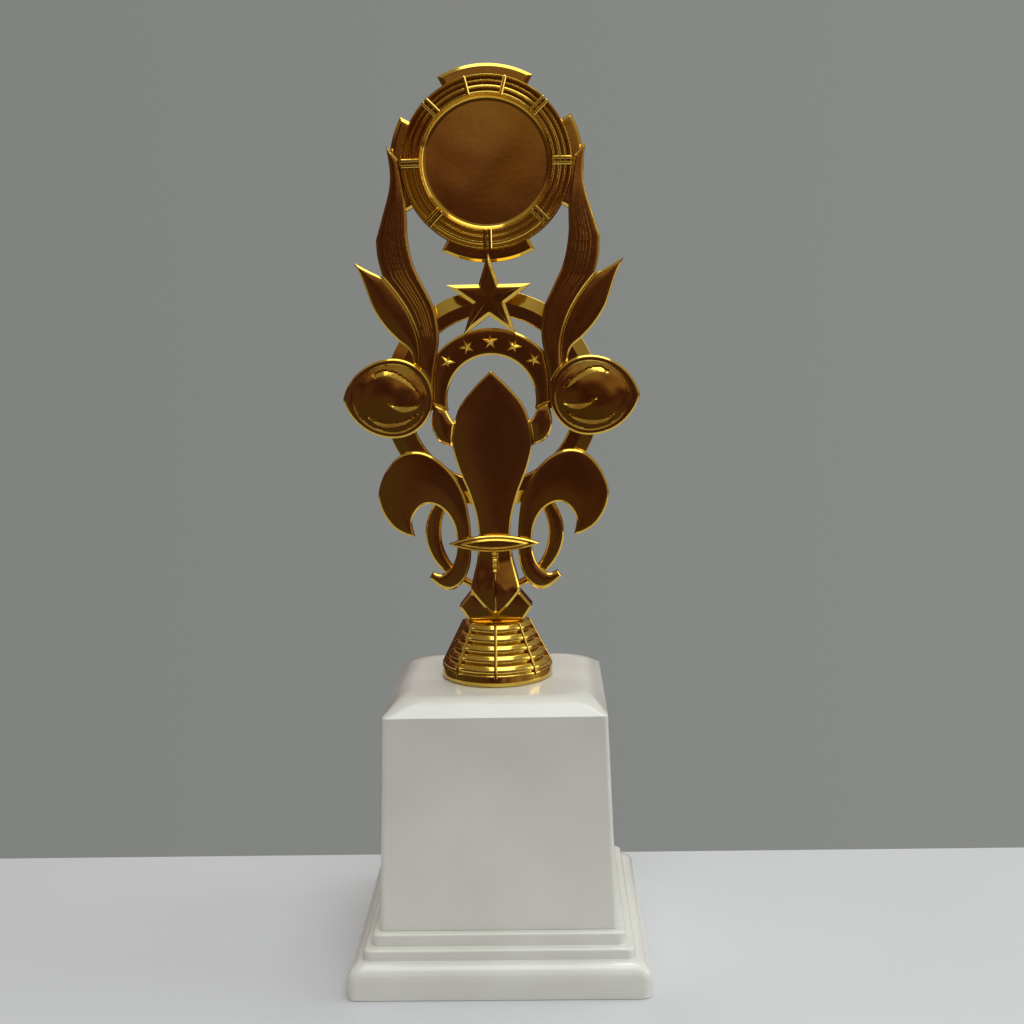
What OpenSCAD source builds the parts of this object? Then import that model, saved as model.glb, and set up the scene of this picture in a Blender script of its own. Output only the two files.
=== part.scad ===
// Star trophy: a gilded figure with a round centre-disc holder, bolted to a white column and plinth.
// The front of the trophy looks along -Y and the figure's layers are stacked along Y.

/* [Plinth] */
// Side of the square plinth at the floor
plinth_w = 115; // [100:1:138]
// Height of the lowest step with its round-over
step1_h = 13.1; // [10:0.1:18]
// Height of the middle step
step2_h = 4.2; // [3:0.1:8]
// Height of the top step
step3_h = 5; // [4:0.1:8]
// Set-back from the lowest step to the middle step
step2_inset = 5.8; // [4:0.1:9]
// Set-back from the middle step to the top step
step3_inset = 3.2; // [2:0.1:6]
// Radius of the plinth's upright corners
plinth_corner_r = 3.5; // [1:0.1:6]
// Wall of the plinth and the column
wall = 2.5; // [2:0.1:4]

/* [Column] */
// Height of the column from the plinth to its shoulder
column_h = 82.9; // [60:0.1:120]
// Set-back from the top step to the foot of the column
column_inset = 3; // [2:0.1:6]
// How far each side leans in between foot and shoulder
column_draft = 2.7; // [0:0.1:6]
// Radius of the column's upright corners
column_corner_r = 1.8; // [0.5:0.1:4]
// Height of the pillow-shaped cap above the shoulder
cap_h = 5.8; // [4:0.1:8]
// Set-back from the shoulder to the flat of the cap
cap_inset = 5; // [3:0.1:9]

/* [Tie rod] */
// Diameter of the tie rod
rod_d = 6; // [5:1:8]
// Width of the hexagon nuts across their flats
nut_af = 10; // [9:0.5:13]
// Height of a nut
nut_h = 5; // [4:0.5:6.5]
// Diameter of the washer under the plinth
washer_d = 18; // [14:1:24]
// Thickness of the washer
washer_t = 1.6; // [1:0.1:2.5]

/* [Foot] */
// Height of the flared foot
foot_h = 23.3; // [19:0.1:30]
// Radius of the foot at its bottom rim
foot_r = 22.3; // [18:0.1:28]
// Radius of the foot at its top
foot_top_r = 13; // [12:0.1:16]
// Height of the smooth bottom rim
foot_rim_h = 4.8; // [3:0.1:6]
// Number of stepped tiers above the rim
foot_tiers = 5; // [3:1:7]
// Number of upright ribs
foot_ribs = 8; // [4:1:12]

/* [Layers] */
// Thickness of the rings at the back
back_t = 4; // [3:0.1:6]
// Thickness of the leaves, petals and arch
mid_t = 3.5; // [2.5:0.1:5]
// Height of the star, the band and the buds above them
raised_t = 4; // [3:0.1:6]

/* [Disc holder] */
// Diameter of the centre disc that the holder takes
insert_d = 50; // [40:1:62]
// Width of the ridged rim round the disc
rim_w = 7.8; // [6:0.1:10]
// Height of the rim in front of the back plate
rim_h = 6; // [5:0.1:8]
// Thickness of the plate that the disc is stuck on
seat_t = 2; // [1:0.1:3]
// How far the four tabs stand out of the rim
tab_w = 4.6; // [3:0.1:6]
// Height of the disc's centre above the top of the foot
insert_z = 179.1; // [165:0.1:195]

/* [Figure] */
// Outer radius of the star
star_r = 17.2; // [13:0.1:21]
// Outer radius of the large ring behind the star
ring_r = 43; // [38:0.1:52]
// Width of the large ring
ring_w = 10; // [8:0.1:12]
// Radius of a bud
bud_r = 15.6; // [13:0.1:17]
// Distance from a bud's centre to its point
bud_point = 19.8; // [18:0.1:24]

/* [Hidden] */
$fn = 64;

gold = [0.83, 0.62, 0.22];
white = [0.87, 0.86, 0.81];
steel = [0.62, 0.63, 0.65];

// Clearances
hole_gap = 0.3;
thread_gap = 0.1;
nut_gap = 0.15;
insert_gap = 0.2;
spigot_gap = 0.3;
cut = 1;
slab = 0.01;

// Plinth and column, from the floor up
step2_z = step1_h;
step3_z = step2_z + step2_h;
plinth_h = step3_z + step3_h;
step2_w = plinth_w - 2 * step2_inset;
step3_w = step2_w - 2 * step3_inset;
column_w = step3_w - 2 * column_inset;
shoulder_w = column_w - 2 * column_draft;
shoulder_z = plinth_h + column_h;
cap_z = shoulder_z + cap_h;
cap_w = shoulder_w - 2 * cap_inset;
cap_steps = 6;
spigot_h = 2;
top_t = wall + 0.5;

// Tie rod
washer_top = plinth_h - top_t;
nut_top = washer_top - washer_t;
rod_end = 3;
rod_bottom = nut_top - nut_h - rod_end;
rod_top = cap_z + nut_h + 9;

// Figure: heights in the figure are measured from the top of the foot
fig_z = cap_z + foot_h;
seat_r = insert_d / 2 + insert_gap;
rim_r = seat_r + rim_w;
tab_r = rim_r + tab_w;
tab_angle = 29;
rib_w = 1.2;
rib_pitch = 2.9;
rib_rise = 0.4;
seat_step = 0.3;
seat_relief = 1.8;
star_gap = 1.4;
star_z = insert_z - rim_r - star_gap - star_r;
ring_z = 88.1;
arch_in = 17.5;
arch_out = 28;
arch_star_r = 3.2;
arch_star_rise = 1.2;
arch_star_step = 24;
bud_x = 38.5;
bud_z = 89.3;
bud_rim_rise = 0.8;
band_z = 31.3;
band_x = 18;
band_half = 3.3;
low_ring_z = 34.7;
low_out = [27.8, 23.5];
low_in = [21.7, 22];
collar_top = 11.2;
collar_wide_z = 5.5;
collar_x = [11, 14.6, 10];
collar_y = 5;
shield_top = 18;

// Points of a smooth curve that passes through p, without its last point
function curve(p, n = 5) = [
    for (i = [0 : len(p) - 2], s = [0 : n - 1])
        let (a = p[max(i - 1, 0)], b = p[i], c = p[i + 1], d = p[min(i + 2, len(p) - 1)], t = s / n)
        b + 0.5 * t * (c - a + t * (2 * a - 5 * b + 4 * c - d + t * (3 * b - a - 3 * c + d)))
];

// The same points in mirror image, from the last to the first
function mirrored(p) = [for (i = [len(p) - 1 : -1 : 0]) [-p[i].x, p[i].y]];

// Tips and inner corners of a five-pointed star
function star_points(r) = [
    for (i = [0 : 9]) (i % 2 == 0 ? r : r * sin(18) / sin(54)) * [sin(36 * i), cos(36 * i)]
];

function ellipse_points(size) = [
    for (i = [0 : 59]) [size.x * cos(6 * i), size.y * sin(6 * i)]
];

// Square with round corners, centred on the axis
module round_square(w, r) {
    for (a = [0, 90])
        rotate(a) square([w, w - 2 * r], center = true);
    for (x = [-1, 1], y = [-1, 1])
        translate([x * (w / 2 - r), y * (w / 2 - r)]) circle(r, $fn = 32);
}

// Thin slab of that square at height z, for hull() to join
module square_slab(w, r, z) {
    translate([0, 0, z]) linear_extrude(slab) round_square(w, r);
}

// Upright plate drawn in X and height above the foot, between two Y planes
module plate(front, back) {
    translate([0, back, fig_z]) rotate([90, 0, 0]) linear_extrude(back - front) children();
}

// Solid of revolution about a Y axis at height z above the foot, standing out to the front
module turned(z) {
    translate([0, 0, fig_z + z]) rotate([90, 0, 0]) rotate_extrude() children();
}

// Height of the round-over on the lowest step
round_h = min(step2_inset + 1, step1_h - 3);

// One storey of the plinth's hollow, open to the floor
module plinth_hollow(w, top) {
    translate([0, 0, -cut]) linear_extrude(top + cut) round_square(w, plinth_corner_r - 0.8);
}

module plinth() {
    spigot_w = column_w - 2 * wall - 2 * spigot_gap;
    color(white) difference() {
        union() {
            linear_extrude(step1_h - round_h) round_square(plinth_w, plinth_corner_r);
            hull() for (i = [0 : cap_steps])
                let (a = 90 * i / cap_steps)
                    square_slab(
                        plinth_w - 2 * step2_inset * (1 - cos(a)),
                        plinth_corner_r,
                        step1_h - round_h + (round_h - slab) * sin(a)
                    );
            translate([0, 0, step1_h - slab])
                linear_extrude(step2_h + slab) round_square(step2_w, plinth_corner_r);
            translate([0, 0, step3_z])
                linear_extrude(step3_h) round_square(step3_w, plinth_corner_r);
            translate([0, 0, plinth_h])
                linear_extrude(spigot_h) round_square(spigot_w, column_corner_r);
        }
        plinth_hollow(plinth_w - 2 * wall, step1_h - round_h);
        plinth_hollow(step2_w, step2_z - wall);
        plinth_hollow(step2_w - 2 * wall, step3_z - wall);
        plinth_hollow(step3_w - 2 * wall, washer_top);
        translate([0, 0, plinth_h])
            linear_extrude(spigot_h + cut) round_square(spigot_w - 2 * wall, column_corner_r);
        translate([0, 0, washer_top - cut]) cylinder(h = top_t + 2 * cut, d = rod_d + 2 * hole_gap);
    }
}

module column() {
    inner_top = cap_z - top_t;
    color(white) difference() {
        union() {
            hull() {
                square_slab(column_w, column_corner_r, plinth_h);
                square_slab(shoulder_w, column_corner_r, shoulder_z - slab);
            }
            hull() for (i = [0 : cap_steps])
                let (a = 90 * i / cap_steps)
                    square_slab(
                        shoulder_w - 2 * cap_inset * (1 - cos(a)),
                        column_corner_r,
                        shoulder_z - slab + cap_h * sin(a)
                    );
        }
        hull() {
            square_slab(column_w - 2 * wall, column_corner_r, plinth_h - slab);
            square_slab(shoulder_w - 2 * wall, column_corner_r, shoulder_z - wall);
            square_slab(cap_w - 2 * wall, column_corner_r, inner_top - slab);
        }
        translate([0, 0, inner_top - cut]) cylinder(h = top_t + 2 * cut, d = rod_d + 2 * hole_gap);
    }
}

module tie_rod() {
    color(steel) translate([0, 0, rod_bottom]) cylinder(h = rod_top - rod_bottom, d = rod_d);
}

module hex_nut() {
    color(steel) difference() {
        cylinder(h = nut_h, d = nut_af / cos(30), $fn = 6);
        translate([0, 0, -cut]) cylinder(h = nut_h + 2 * cut, d = rod_d + 2 * thread_gap);
    }
}

module rod_washer() {
    color(steel) translate([0, 0, nut_top]) difference() {
        cylinder(h = washer_t, d = washer_d);
        translate([0, 0, -cut]) cylinder(h = washer_t + 2 * cut, d = rod_d + 2 * hole_gap);
    }
}

module rod_nut() {
    translate([0, 0, nut_top - nut_h]) hex_nut();
}

module foot_nut() {
    translate([0, 0, cap_z]) hex_nut();
}

// Outline of the foot in radius and height, one notch under each tier
function foot_radius(z) = foot_r + (foot_top_r - foot_r) * (z - foot_rim_h) / (foot_h - foot_rim_h);

function foot_profile(step = 0.9, lip = 1.6) = let (pitch = (foot_h - foot_rim_h) / foot_tiers) concat(
    [[0, 0], [foot_r - lip, 0], [foot_r, lip], [foot_r, foot_rim_h - 0.6], [foot_r - step, foot_rim_h]],
    [for (i = [0 : foot_tiers - 1]) let (z = foot_rim_h + i * pitch) for (p = [
        [foot_radius(z) - 1.6 * step, z],
        [foot_radius(z) - step / 2, z + 0.3 * pitch],
        [foot_radius(z + pitch) - step / 2, z + pitch]
    ]) p],
    [[0, foot_h]]
);

module foot() {
    rib_t = 1.5;
    color(gold) translate([0, 0, cap_z]) difference() {
        union() {
            rotate_extrude() polygon(foot_profile());
            for (i = [0 : foot_ribs - 1])
                rotate(360 * i / foot_ribs)
                    rotate([90, 0, 0]) translate([0, 0, -rib_t / 2]) linear_extrude(rib_t)
                        polygon([
                            [rod_d, foot_rim_h / 2], [foot_r, foot_rim_h / 2],
                            [foot_r, foot_rim_h], [foot_top_r, foot_h], [rod_d, foot_h]
                        ]);
        }
        translate([0, 0, -cut])
            cylinder(h = nut_h + cut, d = (nut_af + 2 * nut_gap) / cos(30), $fn = 6);
        cylinder(h = rod_top - cap_z + 1, d = rod_d + 2 * hole_gap);
    }
}

module collar() {
    half = [[collar_x[0], 0], [collar_x[1], collar_wide_z], [collar_x[2], collar_top]];
    color(gold) plate(-collar_y, collar_y) polygon(concat(half, mirrored(half)));
}

module neck_outline() {
    half = concat(
        curve([[0, 1.7], [4.6, 5.8], [9.4, 11.4]]),
        curve([[9.4, 11.4], [9.7, 13.5], [8.4, 19], [7, 25], [6.7, band_z]]),
        [[6.7, band_z]]
    );
    polygon(concat(half, mirrored(half)));
}

module slice(low, high) {
    intersection() {
        children();
        translate([-100, low]) square([200, high - low]);
    }
}

module neck() {
    raised = -mid_t - raised_t;
    color(gold) {
        plate(raised, -collar_y) slice(0, collar_top) neck_outline();
        plate(raised, -mid_t) slice(collar_top, shield_top) neck_outline();
        plate(-mid_t, 0) slice(collar_top, band_z) neck_outline();
        plate(-mid_t - 1.2, -mid_t)
            translate([-1.3, shield_top]) square([2.6, band_z - band_half - shield_top]);
        plate(0, back_t) intersection() {
            slice(collar_top, band_z) neck_outline();
            translate([0, low_ring_z]) polygon(ellipse_points(low_in));
        }
    }
}

module petal_band() {
    r = (band_x * band_x + band_half * band_half) / (2 * band_half);
    color(gold) plate(-mid_t - raised_t, -mid_t) intersection_for (s = [-1, 1])
        translate([0, band_z + s * (r - band_half)]) circle(r, $fn = 180);
}

module centre_petal_outline() {
    half = concat(
        curve([
            [6, band_z], [6.9, 40.7], [9.6, 50.7], [13.6, 61], [15.9, 72],
            [13.2, 84.4], [6.6, 93.2], [0, 99.6]
        ]),
        [[0, 99.6]]
    );
    polygon(concat(half, mirrored(half)));
}

module centre_petal() {
    color(gold) plate(-mid_t, 0) centre_petal_outline();
}

module side_petal_outline() {
    polygon(concat(
        curve([
            [9.3, band_z], [9.7, 39], [11.2, 48.5], [14.4, 56.2], [19.2, 62.3], [25, 66.6], [31, 68.1],
            [37.5, 66.1], [42.8, 60], [45.7, 52], [44.6, 44.8], [40.6, 38.4], [35.6, 35], [31.9, 34.1]
        ]),
        curve([
            [31.9, 34.1], [32.9, 39.4], [31.4, 43.6], [28.2, 46.7], [24.4, 47.1],
            [20.6, 45.2], [17.6, 41.8], [15.6, 37], [14.9, band_z]
        ]),
        [[14.9, band_z]]
    ));
}

module curl_outline() {
    polygon(concat(
        curve([[14.9, band_z], [15.3, 26.7], [17, 22.2], [20.4, 18.9], [22.8, 18.6], [25.4, 19.8]]),
        curve([
            [26.4, 17.2], [24.6, 15.4], [22.2, 13.4], [19.3, 12.2], [16.2, 12.7],
            [13.3, 15.1], [11.2, 18.7], [9.8, 23.4], [9.3, band_z]
        ]),
        [[9.3, band_z]]
    ));
}

module side_petal() {
    color(gold) plate(-mid_t, 0) side_petal_outline();
}

module curl() {
    color(gold) plate(-mid_t, 0) curl_outline();
}

module lower_ring() {
    color(gold) plate(0, back_t) difference() {
        translate([0, low_ring_z]) polygon(ellipse_points(low_out));
        translate([0, low_ring_z]) polygon(ellipse_points(low_in));
        translate([0, ring_z]) circle(ring_r);
    }
}

// The large ring: a flat band inside and a bevel that falls away to the back outside
module big_ring() {
    bevel = ring_w / 2;
    inner = ring_r - ring_w;
    color(gold) translate([0, back_t, 0]) turned(ring_z) polygon([
        [inner, 0], [ring_r, 0], [ring_r, back_t / 2], [ring_r - bevel, back_t], [inner, back_t]
    ]);
}

module bud_outline() {
    c = (bud_point * bud_point - bud_r * bud_r) / (2 * bud_r);
    translate([bud_x, bud_z]) {
        intersection() {
            circle(bud_r);
            translate([-2 * bud_r, -bud_r]) square([2 * bud_r, 2 * bud_r]);
        }
        intersection() {
            translate([0, -c]) circle(c + bud_r);
            translate([0, c]) circle(c + bud_r);
            translate([0, -bud_r]) square([2 * bud_point, 2 * bud_r]);
        }
    }
}

// Crescent between a circle and the same circle moved back, above (side 1) or below (side -1)
module crescent(r, thick, width, side) {
    intersection() {
        difference() {
            circle(r);
            translate([0, -side * thick]) circle(r);
        }
        translate([-width / 2, side > 0 ? 0 : -2 * r]) square([width, 2 * r]);
    }
}

// A bud: a flat rim, and inside it a low dome with three grooves
module bud() {
    rim = 1.6;
    rise = raised_t - bud_rim_rise;
    cap_r = bud_r - rim;
    dome_r = (cap_r * cap_r + rise * rise) / (2 * rise);
    face = -mid_t - bud_rim_rise;
    color(gold) difference() {
        union() {
            plate(face, 0) bud_outline();
            intersection() {
                translate([bud_x, face - rise + dome_r, fig_z + bud_z]) sphere(dome_r);
                plate(face - rise - cut, -mid_t) translate([bud_x, bud_z]) circle(bud_r + cut);
            }
        }
        plate(face - rise - cut, face + 0.6 - rise / 2) translate([bud_x, bud_z]) {
            crescent(0.75 * bud_r, 1.6, 20, 1);
            translate([-3, 1]) crescent(0.45 * bud_r, 1.4, 12, -1);
            crescent(0.75 * bud_r, 1.6, 20, -1);
        }
    }
}

module knob_outline() {
    difference() {
        polygon(concat(
            curve([[22.4, 86.5], [23.8, 80], [22.8, 75], [19.8, 71.4], [14.5, 69.7]]),
            curve([[14.5, 69.7], [13.5, 76], [16.6, 81.5], [18.4, 84.6], [22.4, 86.5]])
        ));
        centre_petal_outline();
        bud_outline();
    }
}

module knob() {
    color(gold) plate(-mid_t - 0.8, 0) knob_outline();
}

// Band between the wing and the leaf beside it, from the notch down to the bud
function wing_seam() = curve([
    [41.2, 136.3], [36.5, 130.5], [32, 123.5], [28.8, 115.7], [27.4, 108.5], [27.6, 99]
]);

module wing_outline() {
    difference() {
        polygon(concat(
            curve([
                [rim_r + 5.4, 186.1], [rim_r + 4.2, 177], [rim_r + 4.7, 169.5],
                [rim_r + 7.6, 159.5], [rim_r + 10.4, 150.5]
            ]),
            curve([[rim_r + 10.4, 150.5], [rim_r + 10, 144], [41.2, 136.3]]),
            wing_seam(),
            [[27.6, 99], [27.6, 88]],
            curve([
                [22.9, 89.5], [22.7, 97], [21.4, 104.5], [20.1, 113], [21.4, 123.7], [25.4, 132.6],
                [29.2, 141], [31.2, 151.5], [31.4, 163], [rim_r - 0.2, 174.5], [rim_r + 0.8, 180.9]
            ]),
            [[rim_r + 0.8, 180.9]]
        ));
        translate([0, insert_z]) circle(rim_r);
        bud_outline();
    }
}

module leaf_outline() {
    seam = wing_seam();
    difference() {
        polygon(concat(
            [for (i = [len(seam) - 1 : -1 : 0]) seam[i]],
            curve([[41.2, 136.3], [46.8, 139], [52.4, 142.2]]),
            curve([
                [52.4, 142.2], [49.6, 136.2], [47.6, 130.6], [45.2, 123.8], [41, 117.2],
                [36.3, 112.1], [31.2, 107.2], [29.7, 99]
            ]),
            [[29.7, 99], [29.5, 96], [27.6, 96], [27.6, 99]]
        ));
        bud_outline();
    }
}

module wing() {
    color(gold) plate(-mid_t - 0.6, 0) wing_outline();
}

module leaf() {
    color(gold) plate(-mid_t, 0) leaf_outline();
}

module arch_outline() {
    difference() {
        translate([0, ring_z]) circle(arch_out);
        translate([0, ring_z]) circle(arch_in);
        translate([-arch_out - cut, ring_z - arch_out - cut])
            square([2 * (arch_out + cut), arch_out + cut - 4]);
        for (side = [0, 1])
            mirror([side, 0]) {
                wing_outline();
                knob_outline();
                bud_outline();
                centre_petal_outline();
            }
    }
}

module star_arch() {
    color(gold) plate(-mid_t, 0) arch_outline();
}

module star_outline() {
    translate([0, star_z]) polygon(star_points(star_r));
}

module arch_stars() {
    mid_r = (arch_in + arch_out) / 2;
    color(gold) plate(-mid_t - arch_star_rise, -mid_t) difference() {
        for (i = [-2 : 2])
            translate([0, ring_z]) rotate(i * arch_star_step) translate([0, mid_r])
                polygon(star_points(arch_star_r));
        star_outline();
    }
}

// The star: five arms, each with two facets that rise to a ridge and meet at the middle
module star() {
    points = star_points(star_r);
    edge_t = 0.8;
    color(gold) {
        translate([0, -mid_t, fig_z + star_z]) rotate([90, 0, 0])
            for (i = [0 : 2 : 8])
                hull() {
                    linear_extrude(edge_t)
                        polygon([[0, 0], points[(i + 9) % 10], points[i], points[i + 1]]);
                    translate([0, 0, raised_t - slab]) cylinder(h = slab, r = slab, $fn = 5);
                }
        plate(-mid_t, 0) difference() {
            star_outline();
            translate([0, ring_z]) circle(arch_out);
        }
    }
}

module holder_back() {
    color(gold) plate(0, back_t - 1) translate([0, insert_z]) {
        circle(rim_r);
        for (a = [0 : 90 : 270])
            rotate(a) intersection() {
                circle(tab_r);
                polygon([[0, 0], 2 * tab_r * [cos(tab_angle), -sin(tab_angle)],
                    2 * tab_r * [cos(tab_angle), sin(tab_angle)]]);
            }
    }
}

// Ridged rim, let down round the raised floor. It has four beads, tied by pairs of ribs, and a
// single rib each side of the top
module holder_rim() {
    beads = 4;
    pitch = rim_w / beads;
    single = 14;
    color(gold) difference() {
        union() {
            turned(insert_z) polygon(concat(
                [[seat_r + seat_relief, seat_t - seat_step], [seat_r + seat_relief, seat_t]],
                [[seat_r - cut, seat_t], [seat_r - cut, rim_h]],
                [for (i = [0 : beads - 1]) let (r = seat_r + i * pitch, h = rim_h - 0.5 * i) for (p = [
                    [r + 0.2 * pitch, h], [r + 0.5 * pitch, h - 1.3],
                    [r + 0.8 * pitch, h - 1.3], [r + pitch, h - 0.5]
                ]) p],
                [[rim_r, seat_t - seat_step]]
            ));
            for (a = [0, 45, 135, 180, 225, 270, 315], s = [-1, 1])
                rim_rib(a, s * rib_pitch / 2);
            for (s = [-1, 1])
                rim_rib(90 + s * single, 0);
        }
        translate([0, 0, fig_z + insert_z]) rotate([90, 0, 0])
            cylinder(h = rim_h + rib_rise + cut, r = seat_r);
    }
}

// One rib across the rim at angle a, moved sideways by shift
module rim_rib(a, shift) {
    plate(-rim_h - rib_rise, -seat_t) translate([0, insert_z]) rotate(a)
        translate([seat_r - cut, shift - rib_w / 2]) square([rim_w + cut - 0.3, rib_w]);
}

// Floor of the holder, which the centre disc is stuck on, raised a little inside the rim
module disc_seat() {
    raised_r = seat_r - insert_gap / 2;
    color(gold) turned(insert_z) polygon([
        [0, 0], [rim_r, 0], [rim_r, seat_t - seat_step],
        [raised_r, seat_t - seat_step], [raised_r, seat_t], [0, seat_t]
    ]);
}

plinth();
column();
tie_rod();
rod_washer();
rod_nut();
foot_nut();
foot();
collar();
neck();
petal_band();
centre_petal();
mirror([1, 0, 0]) side_petal();  // left_petal
side_petal();  // right_petal
mirror([1, 0, 0]) curl();  // left_curl
curl();  // right_curl
lower_ring();
big_ring();
star_arch();
arch_stars();
mirror([1, 0, 0]) knob();  // left_knob
knob();  // right_knob
star();
mirror([1, 0, 0]) wing();  // left_wing
wing();  // right_wing
mirror([1, 0, 0]) leaf();  // left_leaf
leaf();  // right_leaf
mirror([1, 0, 0]) bud();  // left_bud
bud();  // right_bud
holder_back();
holder_rim();
disc_seat();
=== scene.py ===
import math

import bmesh
import bpy
import numpy as np
from mathutils import Matrix, Vector
from mathutils.geometry import delaunay_2d_cdt


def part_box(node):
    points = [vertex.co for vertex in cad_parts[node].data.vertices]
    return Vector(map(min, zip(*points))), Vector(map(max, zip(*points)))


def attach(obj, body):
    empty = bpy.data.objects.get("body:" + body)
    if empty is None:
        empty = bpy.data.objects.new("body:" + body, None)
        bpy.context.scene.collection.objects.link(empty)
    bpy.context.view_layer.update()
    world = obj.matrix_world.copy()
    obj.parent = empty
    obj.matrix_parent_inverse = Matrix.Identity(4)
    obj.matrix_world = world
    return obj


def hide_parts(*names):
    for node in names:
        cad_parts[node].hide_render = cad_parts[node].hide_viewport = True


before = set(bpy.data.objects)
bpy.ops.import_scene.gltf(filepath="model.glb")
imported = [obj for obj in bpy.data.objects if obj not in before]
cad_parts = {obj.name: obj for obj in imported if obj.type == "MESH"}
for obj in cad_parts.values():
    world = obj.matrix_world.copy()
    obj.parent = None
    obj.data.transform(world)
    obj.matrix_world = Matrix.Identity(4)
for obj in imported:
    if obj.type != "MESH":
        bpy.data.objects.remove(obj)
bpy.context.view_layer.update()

MM = 0.001


# ---------------------------------------------------------------------------------------------
# Studio: a pale table top, a large soft light overhead, a ceiling tube behind, a window at the
# right, a weak lamp at the left, a soft front fill, and round them a dim brown room, which the
# gilded faces mirror.

def linear(hex_code, alpha=1.0):
    """An sRGB hex colour, such as "#C88036", as linear RGBA."""
    channels = [int(hex_code[i:i + 2], 16) / 255 for i in (1, 3, 5)]
    return (*[c / 12.92 if c <= 0.04045 else ((c + 0.055) / 1.055) ** 2.4 for c in channels], alpha)


def add(tree, kind, inputs=None, **settings):
    """Adds a node. An input is a value, or an output socket to link from."""
    made = tree.nodes.new(kind)
    for name, value in settings.items():
        setattr(made, name, value)
    for name, value in (inputs or {}).items():
        socket = made.inputs[name]
        if isinstance(value, bpy.types.NodeSocket):
            tree.links.new(value, socket)
        else:
            socket.default_value = value
    return made


def new_material(name):
    made = bpy.data.materials.new(name)
    made.use_nodes = True
    made.node_tree.nodes.clear()
    return made, made.node_tree


def tones(tree, factor, first, last, start=0.0, end=1.0):
    """A colour ramp from the first tone at start to the last one at end."""
    made = add(tree, "ShaderNodeValToRGB", {"Fac": factor})
    low, high = made.color_ramp.elements
    low.position, high.position = start, end
    low.color, high.color = linear(first), linear(last)
    return made


def noise(tree, length, detail):
    """Noise in object coordinates, with patches about this many millimetres long."""
    spot = add(tree, "ShaderNodeTexCoord").outputs["Object"]
    made = add(tree, "ShaderNodeTexNoise", {"Vector": spot, "Scale": 1 / (length * MM), "Detail": detail})
    return made.outputs["Fac"]


def surface(tree, inputs):
    """The Principled surface, linked to the material's output."""
    skin = add(tree, "ShaderNodeBsdfPrincipled", inputs)
    add(tree, "ShaderNodeOutputMaterial", {"Surface": skin.outputs[0]})


def place(obj):
    bpy.context.scene.collection.objects.link(obj)
    return obj


def look_at(obj, target):
    obj.rotation_euler = (Vector(target) - obj.location).to_track_quat("-Z", "Y").to_euler()


def soft_light(name, location, target, size, energy, colour="#FFFFFF"):
    lamp = bpy.data.lights.new(name, "AREA")
    lamp.shape = "RECTANGLE"
    lamp.size, lamp.size_y = size
    lamp.energy = energy
    lamp.color = linear(colour)[:3]
    obj = place(bpy.data.objects.new(name, lamp))
    obj.location = location
    look_at(obj, target)
    return obj


# The camera stands half a metre in front, at the height of the star, a little to the right.
camera = place(bpy.data.objects.new("camera", bpy.data.cameras.new("camera")))
camera_yaw, camera_pitch, camera_roll = -0.0250, 0.1362, -0.0205
ahead = Vector((math.sin(camera_yaw) * math.cos(camera_pitch),
                math.cos(camera_yaw) * math.cos(camera_pitch),
                -math.sin(camera_pitch)))
across = Vector((math.cos(camera_yaw), -math.sin(camera_yaw), 0))
above = across.cross(ahead)
camera_x = across * math.cos(camera_roll) + above * math.sin(camera_roll)
camera_y = above * math.cos(camera_roll) - across * math.sin(camera_roll)
camera.matrix_world = (Matrix.Translation((0.0205, -0.5346, 0.2506))
                       @ Matrix((camera_x, camera_y, -ahead)).transposed().to_4x4())
camera.data.lens = 47.46
camera.data.sensor_width = 36
bpy.context.scene.camera = camera
bpy.context.scene.view_settings.view_transform = "Standard"

# Room: the camera sees a grey wall with painted light on it, a little lighter towards the right, where the
# window light falls. Everything else is lit by a dim brown room with soft
#  patches, darkest at about eye level and to the left, and much lighter towards the ceiling.
world = bpy.data.worlds.new("studio")
bpy.context.scene.world = world
world.use_nodes = True
sky = world.node_tree
sky.nodes.clear()
path = add(sky, "ShaderNodeLightPath")
towards = add(sky, "ShaderNodeTexCoord").outputs["Object"]
aim = add(sky, "ShaderNodeSeparateXYZ", {"Vector": towards})
# Painted light: the backdrop wall grows a little lighter towards the right, as the window light falls on it.
along_wall = add(sky, "ShaderNodeMapRange",
                 {"Value": aim.outputs["X"], "From Min": -0.4, "From Max": 0.4})
wall_painted_light_tone = tones(sky, along_wall.outputs["Result"], "#80827F", "#898B87")
backdrop = add(sky, "ShaderNodeBackground", {"Color": wall_painted_light_tone.outputs["Color"], "Strength": 1.0})
patches = add(sky, "ShaderNodeTexNoise", {"Vector": towards, "Scale": 5.0, "Detail": 1.5})
patch = add(sky, "ShaderNodeMapRange",
            {"Value": patches.outputs["Fac"], "From Min": 0.35, "From Max": 0.7,
             "To Min": -0.12, "To Max": 0.16})
upward_share, sideways_share = 0.9, 0.35
sideways = add(sky, "ShaderNodeMath",
               {0: aim.outputs["X"], 1: sideways_share, 2: patch.outputs["Result"]},
               operation="MULTIPLY_ADD")
upward = add(sky, "ShaderNodeMath",
             {0: aim.outputs["Z"], 1: upward_share, 2: sideways.outputs[0]},
             operation="MULTIPLY_ADD")
room_height = add(sky, "ShaderNodeMapRange", {"Value": upward.outputs[0], "From Min": -0.5, "From Max": 1.0})
room_tone = tones(sky, room_height.outputs["Result"], "#453730", "#B9B4AA")
room_tones = ((0.20, "#4C3C35"), (0.26, "#52343F"), (0.33, "#331D25"), (0.37, "#43262E"),
              (0.41, "#5E3A41"), (0.47, "#866A63"), (0.62, "#8F877D"))
for position, colour in room_tones:
    room_tone.color_ramp.elements.new(position).color = linear(colour)
room = add(sky, "ShaderNodeBackground", {"Color": room_tone.outputs["Color"], "Strength": 1.0})
seen = add(sky, "ShaderNodeMixShader",
           {"Fac": path.outputs["Is Camera Ray"], 1: room.outputs[0], 2: backdrop.outputs[0]})
add(sky, "ShaderNodeOutputWorld", {"Surface": seen.outputs[0]})

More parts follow.
